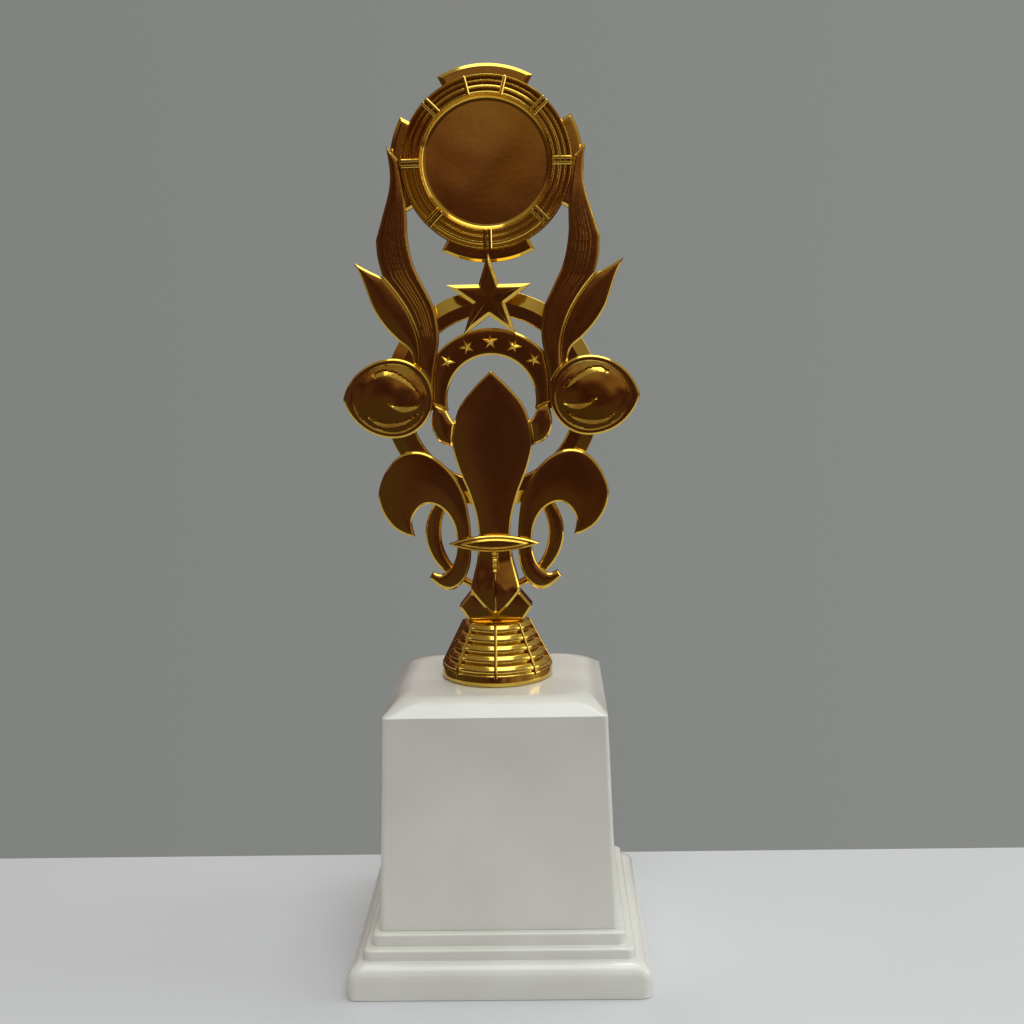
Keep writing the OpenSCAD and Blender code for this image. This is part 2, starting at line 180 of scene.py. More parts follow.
soft_light("overhead_light", (0.15, -0.1, 1.25), (0.12, -0.1, 0.2), (1.2, 0.8), 8.2, "#F0FBFF")
soft_light("ceiling_tube", (0.02, 0.24, 1.2), (0.02, 0.1, 0.1), (0.25, 0.12), 0.9, "#FFFFFF")
soft_light("window_light", (1.15, 0.0, 0.6), (0, 0, 0.22), (0.5, 1.0), 3.9, "#F6FCFF")
soft_light("left_light", (-1.2, 0.1, 0.75), (0, 0, 0.22), (0.35, 0.5), 0.7, "#F6FCFF")
front_fill = soft_light("front_fill", (0.15, -1.4, 0.9), (0, 0, 0.15), (1.2, 1.0), 6.0, "#EFFBFF")
front_fill.visible_glossy = False


def rectangle(name, corners):
    data = bpy.data.meshes.new(name)
    data.from_pydata(corners, [], [range(4)])
    return place(bpy.data.objects.new(name, data))


# White laminate table top, with a faint mottle about 170 mm wide and a satin sheen.
table_half, table_front, table_back = 1.6, -0.26, 0.086
floor = rectangle("table_top", [(-table_half, table_front, 0), (table_half, table_front, 0),
                                (table_half, table_back, 0), (-table_half, table_back, 0)])
laminate, tree = new_material("white laminate, satin")
tone = tones(tree, noise(tree, 166.7, 2.0), "#CDCED0", "#D5D6D8")
surface(tree, {"Base Color": tone.outputs["Color"], "Roughness": 0.38})
floor.data.materials.append(laminate)


# ---------------------------------------------------------------------------------------------
# Plinth: one injection moulding in white ABS, three steps high, hollow and open underneath, with
# softened edges from the polished mould and a raised square that the column drops over.

def rounded_path(corners, segments=6, guard=0.15):
    """A profile through (u, v, radius) corners, each radius turned into an arc between guards."""
    path = []
    for i, (u, v, radius) in enumerate(corners):
        here = Vector((u, v))
        if not radius or i in (0, len(corners) - 1):
            path.append(here)
            continue
        back = (Vector(corners[i - 1][:2]) - here).normalized()
        on = (Vector(corners[i + 1][:2]) - here).normalized()
        half = back.angle(on) / 2
        reach = radius / math.tan(half)
        centre = here + (back + on).normalized() * (radius / math.sin(half))
        start, end = here + back * reach - centre, here + on * reach - centre
        path.append(here + back * (reach + guard))
        sweep = math.atan2(start.x * end.y - start.y * end.x, start.dot(end))
        for s in range(segments + 1):
            path.append(centre + Matrix.Rotation(sweep * s / segments, 2) @ start)
        path.append(here + on * (reach + guard))
    return path


def square_ring(half, radius, height, segments=8, guard=0.3):
    """A level square with round corners and a guard point each side of them, in millimetres."""
    ring = []
    for quarter in range(4):
        turn = math.pi / 2 * quarter
        corner = Vector((half - radius, half - radius))
        points = [corner + radius * Vector((math.cos(a), math.sin(a)))
                  for a in np.linspace(0, math.pi / 2, segments + 1)]
        inset = min(guard, 0.9 * (half - radius))
        points = [points[0] - Vector((0, inset)), *points, points[-1] - Vector((inset, 0))]
        ring += [(*(Matrix.Rotation(turn, 2) @ p), height) for p in points]
    return ring


def skin_rings(rings, ends=False, closed=False):
    """A mesh over rings of equally many points. Ends fills the first and the last ring."""
    made = bmesh.new()
    loops = [[made.verts.new(Vector(p) * MM) for p in ring] for ring in rings]
    count = len(loops[0])
    for k in range(len(loops) if closed else len(loops) - 1):
        low, high = loops[k], loops[(k + 1) % len(loops)]
        for i in range(count):
            j = (i + 1) % count
            made.faces.new((low[i], low[j], high[j], high[i]))
    if ends:
        made.faces.new(loops[0][::-1])
        made.faces.new(loops[-1])
    return made


def finish_mesh(made, name, material, crease=32):
    """Merges doubles, points faces outwards, marks creases and gives an object at the origin."""
    bmesh.ops.remove_doubles(made, verts=made.verts, dist=1e-7)
    bmesh.ops.dissolve_degenerate(made, edges=made.edges, dist=1e-7)
    bmesh.ops.recalc_face_normals(made, faces=made.faces)
    for face in made.faces:
        face.smooth = True
    for edge in made.edges:
        edge.smooth = edge.is_manifold and edge.calc_face_angle(0) < math.radians(crease)
    data = bpy.data.meshes.new(name)
    made.to_mesh(data)
    made.free()
    data.materials.append(material)
    return place(bpy.data.objects.new(name, data))


def install(piece, slot, *nodes):
    """The piece rides on the trophy's one body and stands for the CAD nodes."""
    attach(piece, "root")
    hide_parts(*nodes)
    return piece


def between(tree, factor, low, high):
    """The factor, 0 to 1, mapped to the values from low to high."""
    return add(tree, "ShaderNodeMapRange", {"Value": factor, "To Min": low, "To Max": high}).outputs["Result"]


# White ABS, injection moulded in a polished mould: an even off-white with a satin gloss, a faint
# flow mottle a few centimetres wide and a fine orange peel of about 1 mm.
white_abs, tree = new_material("white ABS, satin moulded")
flow = noise(tree, 35.71, 3.0)
tone = tones(tree, flow, "#DCDAD1", "#E5E4DC", 0.3, 0.7)
peel = noise(tree, 1.111, 2.0)
ripple = add(tree, "ShaderNodeBump", {"Height": peel, "Strength": 0.12, "Distance": 0.12 * MM})
surface(tree, {"Base Color": tone.outputs["Color"], "Roughness": between(tree, flow, 0.24, 0.36),
               "Normal": ripple.outputs["Normal"], "IOR": 1.53, "Coat Weight": 0.6,
               "Coat Roughness": 0.09})

plinth_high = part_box("plinth")[1]
column_low, column_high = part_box("column")
floor_half = plinth_high.x / MM
seat_z = column_low.z / MM
step2_half, step3_half = floor_half - 5.8, floor_half - 9.0
step1_z, step2_z = 13.1, 17.3
wall, deck, skirt_z = 2.5, 3.0, 6.4
column_half = column_high.x / MM
rod_hole = 3.3
spigot_half, spigot_z = column_half - wall - 0.3, seat_z + 2
plinth_corner, step1_round, step_round = 3.5, 5.6, 1.0

plinth_profile = rounded_path([
    (rod_hole, seat_z - deck, 0),
    (step3_half - wall, seat_z - deck, 0.6), (step3_half - wall, step2_z - wall, 0.3),
    (step2_half - wall, step2_z - wall, 0.6), (step2_half - wall, step1_z - wall, 0.3),
    (step2_half, step1_z - wall, 0.5), (step2_half, skirt_z, 0.5),
    (floor_half - wall, skirt_z, 0.8), (floor_half - wall, 0, 0.2),
    (floor_half, 0, 0.45), (floor_half, step1_z - 0.35, step1_round),
    (step2_half, step1_z, 0.35), (step2_half, step2_z, step_round),
    (step3_half, step2_z, 0.35), (step3_half, seat_z, step_round),
    (spigot_half, seat_z, 0.3), (spigot_half, spigot_z, 0.4),
    (spigot_half - wall, spigot_z, 0.4), (spigot_half - wall, seat_z, 0.3),
    (rod_hole, seat_z, 0),
])
plinth_rings = [square_ring(u, min(u, plinth_corner), v) for u, v in plinth_profile]
install(finish_mesh(skin_rings(plinth_rings, closed=True), "plinth_moulding", white_abs),
        "white_plastic", "plinth")


# ---------------------------------------------------------------------------------------------
# Column: a tapered square box in the same white ABS, with softened upright corners, a crisp
# shoulder and a cap bevelled all round, which bends softly into its top. It drops over the
# plinth's raised square.

shoulder_z = 105.2
cap_z = column_high.z / MM
lean, cap_inset, cap_round = 2.7, 6.6, 11
shoulder_half = column_half - lean
cap_half = shoulder_half - cap_inset
column_profile = rounded_path([
    (rod_hole, cap_z - deck, 0), (cap_half - wall, cap_z - deck, 1.0),
    (shoulder_half - wall, shoulder_z - wall, 1.0), (column_half - wall, seat_z, 0.2),
    (column_half, seat_z, 0.3), (shoulder_half, shoulder_z, 0.4), (cap_half, cap_z, cap_round),
    (rod_hole + 0.4, cap_z, 0), (rod_hole, cap_z - 0.4, 0),
], segments=10)
column_corner, corner_growth = 1.9, 1.4
column_rings = []
for u, v in column_profile:
    corner = column_corner + corner_growth * max(0, v - shoulder_z)
    column_rings.append(square_ring(u, min(u, corner), v))
install(finish_mesh(skin_rings(column_rings, closed=True), "column_moulding", white_abs, crease=40),
        "white_plastic", "column")


# ---------------------------------------------------------------------------------------------
# Tie rod: a length of M6 threaded steel bar, zinc plated, that runs up through plinth and column
# into the foot. The thread is rolled along its whole length, and both ends are chamfered.

# Bright zinc plate: grey, with a faint cloudy passivation in patches of about 5 mm, which also
# makes its gloss uneven.
zinc, tree = new_material("zinc plated steel, bright passivated")
cloud = noise(tree, 4.545, 4.0)
tone = tones(tree, cloud, "#A9ACAE", "#C9CBC8")
surface(tree, {"Base Color": tone.outputs["Color"], "Metallic": 1.0,
               "Roughness": between(tree, cloud, 0.26, 0.44)})

rod_low, rod_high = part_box("tie_rod")
rod_radius = rod_high.x / MM
rod_foot, rod_top = rod_low.z / MM, rod_high.z / MM
thread_pitch, thread_depth, rod_chamfer = 1.0, 0.6, 0.8
around, per_turn = 24, 5
rod_rings = []
for level in np.arange(rod_foot, rod_top + 0.01, thread_pitch / per_turn):
    from_end = min(level - rod_foot, rod_top - level)
    ring = []
    for s in range(around):
        angle = math.tau * s / around
        phase = (level / thread_pitch - s / around) % 1
        crest = min(1, max(0, 1.6 * abs(2 * phase - 1) - 0.1))
        radius = min(rod_radius - thread_depth * (1 - crest), rod_radius - rod_chamfer + from_end)
        ring.append((radius * math.cos(angle), radius * math.sin(angle), level))
    rod_rings.append(ring)
install(finish_mesh(skin_rings(rod_rings, ends=True), "tie_rod_m6", zinc, crease=60),
        "plated_steel", "tie_rod")


# ---------------------------------------------------------------------------------------------
# Washer and two hexagon nuts: pressed and cold formed steel, zinc plated. One nut draws the
# washer up under the plinth's deck, the other sits in the recess of the foot.

def lathe(profile, centre, axis="Z", segments=128, closed=True):
    """Rings for a (radius, height) profile turned about an axis, or forwards (-Y) if axis is Y."""
    turned = []
    for radius, height in profile:
        ring = []
        for a in np.arange(segments) * (2 * math.pi / segments):
            u, v = radius * math.cos(a), radius * math.sin(a)
            ring.append((u, v, height) if axis == "Z" else (u, -height, v))
        turned.append([Vector(p) + Vector(centre) for p in ring])
    return skin_rings(turned, closed=closed)


washer_low, washer_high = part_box("rod_washer")
washer_r, washer_z0, washer_z1 = washer_high.x / MM, washer_low.z / MM, washer_high.z / MM
washer_mid = 6
washer_profile = rounded_path([
    (washer_mid, washer_z0, 0), (washer_r, washer_z0, 0.35), (washer_r, washer_z1, 0.15),
    (rod_hole, washer_z1, 0.2), (rod_hole, washer_z0, 0.1), (washer_mid, washer_z0, 0),
], segments=4, guard=0.05)
install(finish_mesh(lathe(washer_profile, (0, 0, 0), segments=96), "steel_washer", zinc),
        "plated_steel", "rod_washer")


def hexagon_nut(node):
    """A nut with 30 degree chamfers on its corners and a countersink at each end of the bore."""
    low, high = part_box(node)
    z0, z1 = low.z / MM, high.z / MM
    flat = min(high.x, high.y) / MM
    face_r, bore, sink, sink_h = 0.96 * flat, 3.1, 0.5, 0.6
    first_flat = math.pi / 6 if high.x < high.y else 0
    samples = 72
    spokes = []
    for angle in np.arange(samples) * (math.tau / samples):
        turn = (angle + first_flat) % (math.pi / 3) - math.pi / 6
        edge = flat / math.cos(turn)
        cut_off = (edge - face_r) * math.tan(math.radians(30))
        profile = ((bore, z0 + sink_h), (bore + sink, z0), (face_r, z0), (edge, z0 + cut_off),
                   (edge, z1 - cut_off), (face_r, z1), (bore + sink, z1), (bore, z1 - sink_h))
        spokes.append([(r * math.cos(angle), r * math.sin(angle), height) for r, height in profile])
    return finish_mesh(skin_rings(list(zip(*spokes)), closed=True), node + "_m6", zinc, crease=20)


for node in ("rod_nut", "foot_nut"):
    install(hexagon_nut(node), "plated_steel", node)


# ---------------------------------------------------------------------------------------------
# Foot: the turned-looking base of the figure, moulded in ABS and vacuum metallised gold. Five
# rounded tiers over a smooth rim, crossed by eight slim ribs, hollow below for rod and nut.

# Metallised gold under a clear lacquer: mirror bright, with the slow waves of a moulded face
# about 24 mm long, faint pits of about 2.4 mm, and a tint that hardly varies.
gilt, tree = new_material("vacuum metallised gold on ABS, lacquered")
waves = noise(tree, 23.81, 1.0)
pits = noise(tree, 2.381, 2.0)
tone = tones(tree, waves, "#D7AE44", "#E2BE58", 0.3, 0.7)
wavy = add(tree, "ShaderNodeBump", {"Height": waves, "Strength": 1.0, "Distance": 0.22 * MM})
pitted = add(tree, "ShaderNodeBump", {"Height": pits, "Strength": 1.0, "Distance": 0.01 * MM,
                                      "Normal": wavy.outputs["Normal"]})
surface(tree, {"Base Color": tone.outputs["Color"], "Metallic": 1.0,
               "Roughness": between(tree, pits, 0.08, 0.17), "Normal": pitted.outputs["Normal"]})


def spread_tree():
    """Geometry Nodes: a shape repeated in even turns about an axis, joined to the input mesh."""
    tree = bpy.data.node_groups.new("spread round an axis", "GeometryNodeTree")
    for name, kind in (("Geometry", "Geometry"), ("Shape", "Object"), ("Count", "Int"),
                       ("First Angle", "Float"), ("Step", "Float"), ("Axis", "Vector"),
                       ("Centre", "Vector"), ("Finish", "Material")):
        tree.interface.new_socket(name=name, in_out="INPUT", socket_type="NodeSocket" + kind)
    tree.interface.new_socket(name="Geometry", in_out="OUTPUT", socket_type="NodeSocketGeometry")
    given = add(tree, "NodeGroupInput").outputs
    points = add(tree, "GeometryNodeMeshLine", {"Count": given["Count"], "Offset": (0, 0, 0)})
    shape = add(tree, "GeometryNodeObjectInfo", {"Object": given["Shape"]})
    copies = add(tree, "GeometryNodeInstanceOnPoints",
                 {"Points": points.outputs["Mesh"], "Instance": shape.outputs["Geometry"]})
    index = add(tree, "GeometryNodeInputIndex")
    angle = add(tree, "ShaderNodeMath",
                {0: given["Step"], 1: index.outputs[0], 2: given["First Angle"]}, operation="MULTIPLY_ADD")
    turn = add(tree, "FunctionNodeAxisAngleToRotation", {"Axis": given["Axis"], "Angle": angle.outputs[0]})
    turned = add(tree, "GeometryNodeRotateInstances",
                 {"Instances": copies.outputs["Instances"], "Rotation": turn.outputs["Rotation"],
                  "Pivot Point": given["Centre"], "Local Space": False})
    both = add(tree, "GeometryNodeJoinGeometry")
    tree.links.new(turned.outputs["Instances"], both.inputs[0])
    tree.links.new(given["Geometry"], both.inputs[0])
    real = add(tree, "GeometryNodeRealizeInstances", {"Geometry": both.outputs[0]})
    painted = add(tree, "GeometryNodeSetMaterial", {"Geometry": real.outputs[0], "Material": given["Finish"]})
    add(tree, "NodeGroupOutput", {"Geometry": painted.outputs[0]})
    return tree


def spread(base, shape, count, first, step, axis, centre, finish):
    """Runs the tree on base, leaves the plain mesh in it and removes the shape. Angles in degrees."""
    modifier = base.modifiers.new("spread", "NODES")
    modifier.node_group = spread_round
    values = {"Shape": shape, "Count": count, "First Angle": math.radians(first),
              "Step": math.radians(step), "Axis": axis, "Centre": centre, "Finish": finish}
    for name, value in values.items():
        modifier[spread_round.interface.items_tree[name].identifier] = value
    bpy.context.view_layer.update()
    made = bpy.data.meshes.new_from_object(base.evaluated_get(bpy.context.evaluated_depsgraph_get()))
    base.modifiers.clear()
    base.data = made
    made.materials.clear()
    made.materials.append(finish)
    bpy.data.objects.remove(shape)
    return base


spread_round = spread_tree()
foot_low, foot_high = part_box("foot")
foot_r, foot_z, foot_top_z = foot_high.x / MM, foot_low.z / MM, foot_high.z / MM
foot_rim_h, foot_top_r, tiers = 4.8, 13.0, 5
tiers_z = foot_z + foot_rim_h
tier_h = (foot_top_z - tiers_z) / tiers
pocket_r, pocket_z = 5.9, foot_z + 5.0
foot_corners = [(rod_hole, pocket_z, 0), (pocket_r, pocket_z, 0.2), (pocket_r, foot_z, 0.2),
                (foot_r - 0.8, foot_z, 0.5), (foot_r, foot_z + 1.6, 1.4),
                (foot_r - 0.5, tiers_z - 0.1, 0.8)]
for tier in range(tiers):
    low_z = tiers_z + tier * tier_h
    low_r, high_r = [foot_r + (foot_top_r - foot_r) * (tier + k) / tiers for k in (0, 1)]
    foot_corners += [(low_r - 1.7, low_z + 0.05, 0.2), (low_r - 0.1, low_z + 1.0, 1.1),
                     (high_r - 0.1, low_z + tier_h - 0.6, 1.5)]
foot_corners += [(foot_top_r - 1.0, foot_top_z - 0.3, 0.15), (foot_top_r - 2.2, foot_top_z, 0.2),
                 (rod_hole, foot_top_z, 0)]
foot_rings = lathe(rounded_path(foot_corners, guard=0.08), (0, 0, 0), segments=160)
foot = finish_mesh(foot_rings, "foot_metallised", gilt, crease=50)


def sloped_rib(width, proud, root=2.2):
    """A rib that starts on the rim, follows the tiers' slope and has a half-round crest."""
    half = width / 2
    sections = []
    start_z = tiers_z - 1.2
    for level in np.linspace(start_z, foot_top_z - 0.3, 9):
        up = max(0, (level - tiers_z) / (foot_top_z - tiers_z))
        crest = foot_r + (foot_top_r - foot_r) * up + proud - half
        if level == start_z:
            crest -= proud
        rounded = [(crest + half * math.sin(a), -half * math.cos(a), level)
                   for a in np.linspace(0, math.pi, 7)]
        sections.append([(crest - root, -half, level), *rounded, (crest - root, half, level)])
    return finish_mesh(skin_rings(sections, ends=True), "rib", gilt, crease=35)


foot_ribs = 8
foot = spread(foot, sloped_rib(1.4, 0.45), foot_ribs, 0, 360 / foot_ribs, (0, 0, 1), (0, 0, 0), gilt)
install(foot, "gilded_plastic", "foot")


# ---------------------------------------------------------------------------------------------
# Collar: the hexagonal block between foot and neck, part of the same metallised moulding, with
# a narrow bright chamfer along every edge.

def face_outlines(node, depth=None):
    """Closed (x, z) outlines in mm, inside on the left, of a node's flat front or the one at depth."""
    made = bmesh.new()
    made.from_mesh(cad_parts[node].data)
    bmesh.ops.remove_doubles(made, verts=made.verts, dist=2e-6)
    flats = {f: f.calc_center_median().y / MM for f in made.faces if f.normal.y < -0.999}
    level = min(flats.values()) if depth is None else depth
    chosen = dict.fromkeys(f for f, y in flats.items() if abs(y - level) < 0.02)
    onward = {}
    for face in chosen:
        for loop in face.loops:
            if not any(f in chosen for f in loop.edge.link_faces if f is not face):
                onward.setdefault(loop.vert, []).append(loop.link_loop_next.vert)
    outlines = []
    while onward:
        start = vert = next(iter(onward))
        outline = []
        while True:
            outline.append((vert.co.x / MM, vert.co.z / MM))
            following = onward[vert].pop()
            if not onward[vert]:
                del onward[vert]
            vert = following
            if vert is start:
                break
        outlines.append(outline)
    made.free()
    return outlines


def walk(outline, step):
    """The outline at about even steps, with its corners kept."""
    points = [Vector(p) for p in outline]
    count = len(points)
    runs = [points[(i + 1) % count] - points[i] for i in range(count)]
    sharp = [runs[i - 1].angle(runs[i], 0) > 0.3 for i in range(count)]
    first = sharp.index(True) if True in sharp else 0
    kept = []
    for i in range(count):
        k = (first + i) % count
        if sharp[k] or not kept or (points[k] - kept[-1]).length > 0.6 * step:
            kept.append(points[k])
    path = []
    for here, there in zip(kept, kept[1:] + kept[:1]):
        parts = max(1, round((there - here).length / step))
        path += [here.lerp(there, s / parts) for s in range(parts)]
    return path


def inset(path, distance):
    """Points at a distance inside a path: mitred at outward corners, fanned out at inward ones."""
    points = []
    for before, here, after in zip(path[-1:] + path[:-1], path, path[1:] + path[:1]):
        a, b = (here - before).normalized(), (after - here).normalized()
        turn = math.atan2(a.x * b.y - a.y * b.x, a.dot(b))
        left_a, left_b = Vector((-a.y, a.x)), Vector((-b.y, b.x))
        if turn < -0.25:
            points += [here + distance * (Matrix.Rotation(turn * s / 4, 2) @ left_a) for s in range(5)]
        else:
            reach = min(distance / math.cos(turn / 2), 3 * distance)
            points.append(here + (left_a + left_b).normalized() * reach)
    return points


def edge_distance(points, paths):
    """The distance of each point from the nearest edge of closed paths, and which lie inside."""
    points = np.asarray(points, float).reshape(-1, 2)
    x, z = points[:, :1], points[:, 1:]
    nearest, inside = np.full(len(points), 1e9), np.zeros(len(points), bool)
    for path in paths:
        a = np.array([p[:] for p in path])
        run = np.roll(a, -1, 0) - a
        t = np.clip(((x - a[:, 0]) * run[:, 0] + (z - a[:, 1]) * run[:, 1]) / (run ** 2).sum(1), 0, 1)
        away = np.hypot(x - a[:, 0] - t * run[:, 0], z - a[:, 1] - t * run[:, 1])
        nearest = np.minimum(nearest, away.min(1))
        rise = np.where(run[:, 1] == 0, 1e-12, run[:, 1])
        spans_z = (a[:, 1] > z) != (a[:, 1] + run[:, 1] > z)
        passed = spans_z & (x < a[:, 0] + (z - a[:, 1]) * run[:, 0] / rise)
        inside ^= passed.sum(1) % 2 == 1
    return nearest, inside


def spaced(candidates, taken, gap):
    """The candidates that keep their distance from the points taken and from each other."""
    cells, kept = {}, []

    def near(p):
        i, j = int(p[0] // gap), int(p[1] // gap)
        return (q for di in (-1, 0, 1) for dj in (-1, 0, 1) for q in cells.get((i + di, j + dj), ()))

    for p in taken:
        cells.setdefault((int(p[0] // gap), int(p[1] // gap)), []).append(p)
    for p in candidates:
        if all(math.hypot(p[0] - q[0], p[1] - q[1]) >= gap for q in near(p)):
            cells.setdefault((int(p[0] // gap), int(p[1] // gap)), []).append(p)
            kept.append(p)
    return kept


def soft_step(value, start, width, soft=0.12):
    """Falls from 1 to 0 along a straight ramp that starts at `start`, with softened ends."""
    def bend(u):
        return np.where(u < -soft, 0, np.where(u > soft, u, (u + soft) ** 2 / (4 * soft)))

    return 1 - (bend(value - start) - bend(value - start - width)) / width


def relief(outlines, back, height, rings, grid=1.2, step=0.7, lines=(), back_edge=0.3):
    """A moulded plate over closed outlines. Its front is y = height(x, z, distance from the edge)
    in mm, with rows of mesh points at the ring distances and along the lines. Its back is flat."""
    paths = [walk(outline, step) for outline in outlines]
    rim = [p for path in paths for p in path]
    links, start = [], 0
    for path in paths:
        links += [(start + i, start + (i + 1) % len(path)) for i in range(len(path))]
        start += len(path)
    for line in lines:
        links += [(start + i, start + i + 1) for i in range(len(line) - 1)]
        rim = rim + [Vector(p) for p in line]
        start += len(line)
    wanted = []
    for distance in rings:
        row = np.array([p[:] for path in paths for p in inset(path, distance)])
        away, inside = edge_distance(row, paths)
        wanted += [tuple(p) for p in row[inside & (away > 0.97 * distance)]]
    low, high = np.min([p[:] for p in rim], 0), np.max([p[:] for p in rim], 0)
    columns = np.arange(low[0], high[0], grid)
    staggered = np.array([(x + grid / 2 * (k % 2), z)
                          for k, z in enumerate(np.arange(low[1], high[1], grid * 0.866)) for x in columns])
    away, inside = edge_distance(staggered, paths)
    grid_points = [tuple(p) for p in staggered[inside & (away > rings[-1] + 0.35 * grid)]]
    kept = spaced(wanted, [p[:] for p in rim], 0.1)
    kept += spaced(grid_points, [p[:] for p in rim] + kept, 0.45 * grid)
    points, _, faces, *_ = delaunay_2d_cdt([*rim, *map(Vector, kept)], links, [], 0, 1e-5, False)
    flat = np.array([p[:] for p in points])
    away, _ = edge_distance(flat, paths)
    _, inside = edge_distance([flat[list(f)].mean(0) for f in faces], paths)
    made = bmesh.new()
    depths = height(flat[:, 0], flat[:, 1], away)
    front = [made.verts.new((x * MM, y * MM, z * MM)) for (x, z), y in zip(flat, depths)]
    for face, keep in zip(faces, inside):
        if keep:
            made.faces.new([front[i] for i in face])
    for vert in [v for v in made.verts if not v.link_faces]:
        made.verts.remove(vert)
    edges = [e for e in made.edges if len(e.link_faces) == 1]
    inward = {}
    for edge in edges:
        along = (edge.verts[1].co - edge.verts[0].co).normalized()
        side = edge.link_faces[0].calc_center_median() - edge.verts[0].co
        along.y = side.y = 0
        across = (side - along * side.dot(along) / max(along.length_squared, 1e-12)).normalized()
        for vert in edge.verts:
            inward[vert] = inward.get(vert, Vector()) + across
    for level, shift in ((back - back_edge, 0), (back, back_edge)):
        grown = bmesh.ops.extrude_edge_only(made, edges=edges)["geom"]
        new_verts = [v for v in grown if isinstance(v, bmesh.types.BMVert)]
        edges = [e for e in grown if isinstance(e, bmesh.types.BMEdge)
                 and all(v in new_verts for v in e.verts)]
        around = {}
        for vert in new_verts:
            origin = next(o for e in vert.link_edges for o in [e.other_vert(vert)] if o in inward)
            around[vert] = inward[origin]
            vert.co.y = level * MM
            vert.co += inward[origin].normalized() * shift * MM
        inward = around
    bmesh.ops.triangle_fill(made, use_beauty=True, edges=edges)
    return made


chamfer_width, chamfer_drop = 0.7, 0.5
bold_width, bold_drop = 0.9, 0.6


def chamfered(front, width=chamfer_width, drop=chamfer_drop, crown=0.25, reach=5.0):
    """A plate's face: about flat at `front`, a little crowned, with a chamfer along its edge."""
    return lambda x, z, away: front + drop * soft_step(away, 0, width) + crown * np.exp(-away / reach)


def rows(*ramps, soft=0.12):
    """Ring distances that carry ramps given as (start, width), with a row at each side of a bend."""
    found = {round(start + k, 3) for start, width in ramps
             for k in (-soft, 0, soft, width / 2, width - soft, width, width + soft)}
    return sorted(d for d in found if d > 0.06)


def gilt_plate(node, back=None, **shape):
    """A metallised plate over a CAD node's front outline, with a chamfered and crowned face."""
    low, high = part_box(node)
    face = chamfered(low.y / MM, **shape)
    made = relief(face_outlines(node), high.y / MM if back is None else back, face,
                  rows((0, shape.get("width", chamfer_width))) + [1.4, 2.1])
    return install(finish_mesh(made, node + "_moulding", gilt), "gilded_plastic", node)


gilt_plate("collar", width=bold_width, drop=bold_drop, crown=0.3, reach=2)


# ---------------------------------------------------------------------------------------------
# Neck: the stem of the figure. Above, a low roof with a narrow ladder-like strip down its ridge,
# and below it a domed shield whose crisp V lies on the collar. Same gilded moulding.

neck_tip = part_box("neck")[0].z / MM
flank = sorted({(round(z, 3), round(x, 3)) for level in (None, -3.5)
                for outline in face_outlines("neck", level) for x, z in outline
                if x > 3 or z < neck_tip + 6 and x > 0.4})
neck_outline = [(0.0, neck_tip + 1.7), *[(x, z) for z, x in flank],
                *[(-x, z) for z, x in reversed(flank)]]
shield_front, shield_top, roof_z, roof_back = -7.1, neck_tip + 9, 16, 1.5
strip_low, strip_high, rung_step = neck_tip + 18, neck_tip + 28, 1.6
rail_inner, rail_outer = 0.75, 1.35
rail_h, rung_h, ridge_h = 0.45, 0.4, 0.25


def neck_face(x, z, away):
    x = np.abs(x)
    rise = np.clip((z - shield_top) / roof_z, 0, 1)
    rise = rise * rise * (3 - 2 * rise)
    middle = shield_front + roof_back * rise
    slope = (x / 8) ** 2 * (1 - rise) + 1.5 * rise * x / 7
    face = middle + slope + bold_drop * soft_step(away, 0, bold_width)
    on_strip = (z >= strip_low) * (z <= strip_high)
    rail = np.clip(1 - np.abs(2 * x - rail_inner - rail_outer) / (rail_outer - rail_inner), 0, 1)
    rung = (0.5 + 0.5 * np.cos((z - strip_low) * math.tau / rung_step)) * (x < rail_inner)
    ridge = soft_step(x, 0.05, 0.3, 0.05) * (z < strip_low) * soft_step(-z, -neck_tip - 3, 1.5)
    return face - on_strip * (rail_h * rail + rung_h * rung) - ridge_h * ridge


rail_middle = (rail_inner + rail_outer) / 2
strip_lines = [[(side * x, strip_low), (side * x, strip_high)] for side in (-1, 1)
               for x in (rail_inner - 0.02, rail_inner, rail_middle, rail_outer)]
below_strip = strip_low - 0.1
strip_lines += [[(-rail_outer, below_strip), (rail_outer, below_strip)]]
strip_lines += [[(-rail_inner, z), (rail_inner, z)] for z in np.arange(strip_low, strip_high, rung_step / 4)]
strip_lines += [[(x, neck_tip + 3.2), (x, below_strip)] for x in (-0.4, -0.2, 0, 0.2, 0.4)]
neck_back = 3.6
neck = relief([neck_outline], neck_back, neck_face, rows((0, bold_width)) + [1.4], grid=0.7,
              lines=strip_lines)
install(finish_mesh(neck, "neck_moulding", gilt), "gilded_plastic", "neck")


# ---------------------------------------------------------------------------------------------
# Petal band: the pointed clasp that seems to hold the petals together. It stands proud of them
# and is stepped: a chamfered lens with a smaller lens raised on it.

band_low, band_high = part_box("petal_band")
band_slope, small_lens_in, small_lens_h = 0.5, 1.35, 0.75


def band_face(x, z, away):
    outer = 0.6 * soft_step(away, 0, band_slope)
    return band_low.y / MM + outer + small_lens_h * soft_step(away, small_lens_in, band_slope)


band = relief(face_outlines("petal_band"), band_high.y / MM, band_face,
              rows((0, band_slope), (small_lens_in, band_slope)), grid=0.8)
install(finish_mesh(band, "petal_band_moulding", gilt), "gilded_plastic", "petal_band")


# ---------------------------------------------------------------------------------------------
# Fleur-de-lis: a pointed centre petal, two side petals that turn down, and two curls with hooked
# ends below the band. Flat metallised plates with narrow chamfers and slightly crowned faces.

gilt_plate("centre_petal", crown=0.35)
for side in ("left", "right"):
    gilt_plate(side + "_petal", crown=0.3)
    gilt_plate(side + "_curl", width=0.6, drop=0.4, crown=0.6, reach=1.8)


